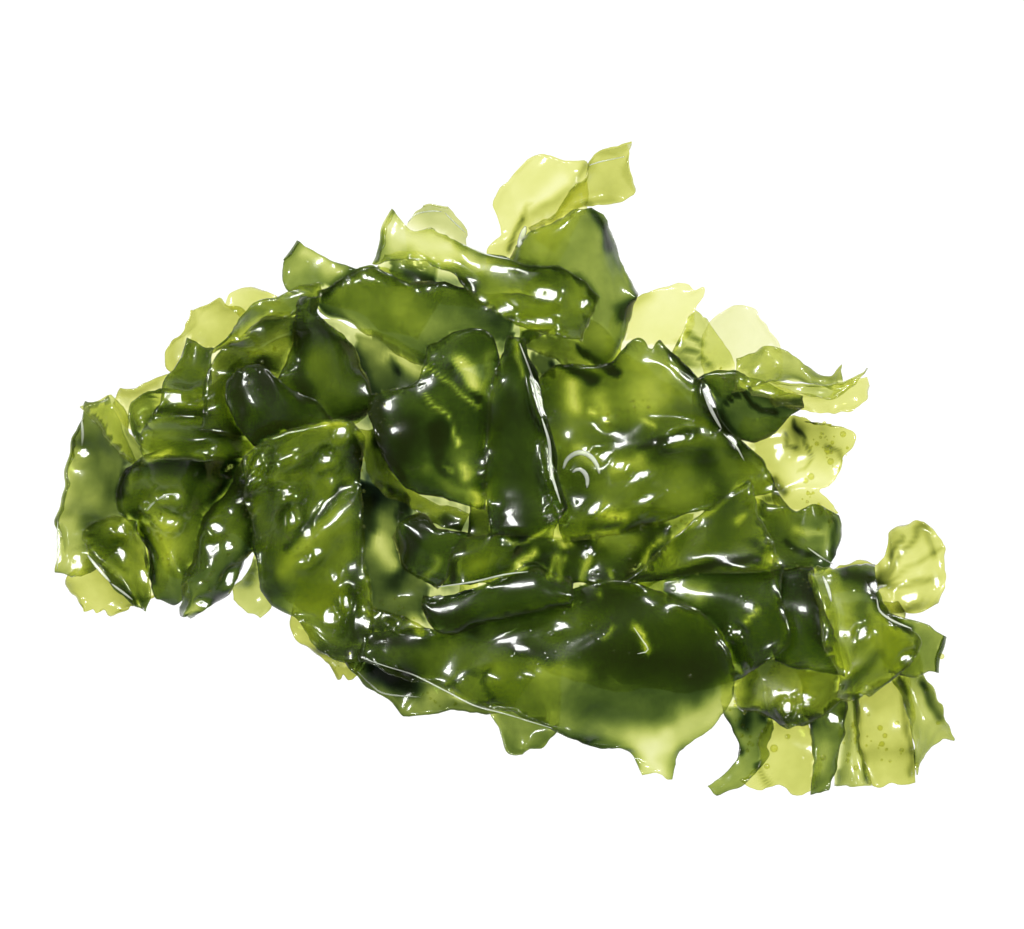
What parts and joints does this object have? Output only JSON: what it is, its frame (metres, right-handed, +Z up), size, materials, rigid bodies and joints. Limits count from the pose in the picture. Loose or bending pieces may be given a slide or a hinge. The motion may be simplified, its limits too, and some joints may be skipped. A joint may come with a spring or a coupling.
{
  "type": "sea lettuce heap",
  "caption": "Loose heap of wet, glossy, see-through green sea lettuce fronds, ruffled and folded over one another.",
  "frame": {"origin": "centre of the heap's outline on the surface that it lies on", "axes": "+Z up from the surface, towards the picture's camera; +X along the heap's length, the picture's right; +Y the picture's top"},
  "size_m": [0.1508, 0.1092, 0.0216],
  "materials": {
    "algae_pale": "wet gloss",
    "algae_bright": "wet gloss",
    "algae_mid": "wet gloss",
    "algae_dark": "wet gloss"
  },
  "bodies": {
    "root": {"blade_far_left": "algae_bright", "blade_mid_left": "algae_mid", "blade_tall_centre": "algae_dark", "blade_upper_left": "algae_mid", "cup_low_left": "algae_mid", "curl_clear_top": "algae_pale", "drape_glossy_left": "algae_mid", "drape_top": "algae_mid", "fan_right": "algae_pale", "fold_centre_low": "algae_mid", "frill_low_left": "algae_pale", "frond_dark_centre": "algae_dark", "leaf_dark_hollow": "algae_dark", "leaf_narrow_rimmed": "algae_mid", "lobe_back_left_inner": "algae_pale", "lobe_back_left_outer": "algae_pale", "lobe_big_right": "algae_mid", "lobe_curled_far_right": "algae_mid", "lobe_curled_left": "algae_mid", "lobe_dark_right": "algae_mid", "lobe_dark_under_ribbon": "algae_mid", "lobe_folded_top": "algae_pale", "lobe_front_right": "algae_bright", "lobe_long_front_centre": "algae_dark", "lobe_low_left": "algae_pale", "lobe_narrow_right": "algae_bright", "lobe_pale_right_top": "algae_pale", "lobe_pale_top": "algae_pale", "lobe_pointed_low_left": "algae_mid", "lobe_rolled_right": "algae_bright", "lobe_round_left": "algae_mid", "lobe_small_yellow": "algae_bright", "lobe_white_right_top": "algae_pale", "lobe_yellow_right_top": "algae_pale", "point_front_under": "algae_mid", "ribbon_top": "algae_mid", "sheet_big_right": "algae_mid", "sheet_bubbly_left": "algae_bright", "sheet_curled_upper_left": "algae_mid", "sheet_dark_front_right": "algae_dark", "sheet_dark_left": "algae_dark", "sheet_dark_right": "algae_mid", "sheet_front": "algae_mid", "sheet_front_under": "algae_bright", "sheet_lower_right": "algae_dark", "sheet_pointed_right": "algae_mid", "sheet_thin_right": "algae_pale", "sheet_wide_upper": "algae_mid", "strip_folded_left": "algae_bright", "strip_green_right_top": "algae_bright", "strip_hollow_pale": "algae_bright", "strip_left_rim": "algae_pale", "tail_bent": "algae_mid", "tail_far_right": "algae_bright", "tail_green": "algae_mid", "tail_olive": "algae_bright", "tail_pale_left": "algae_pale", "tail_pale_right": "algae_pale", "under_sheet_left": "algae_bright", "under_sheet_right": "algae_bright"}
  },
  "joints": []
}
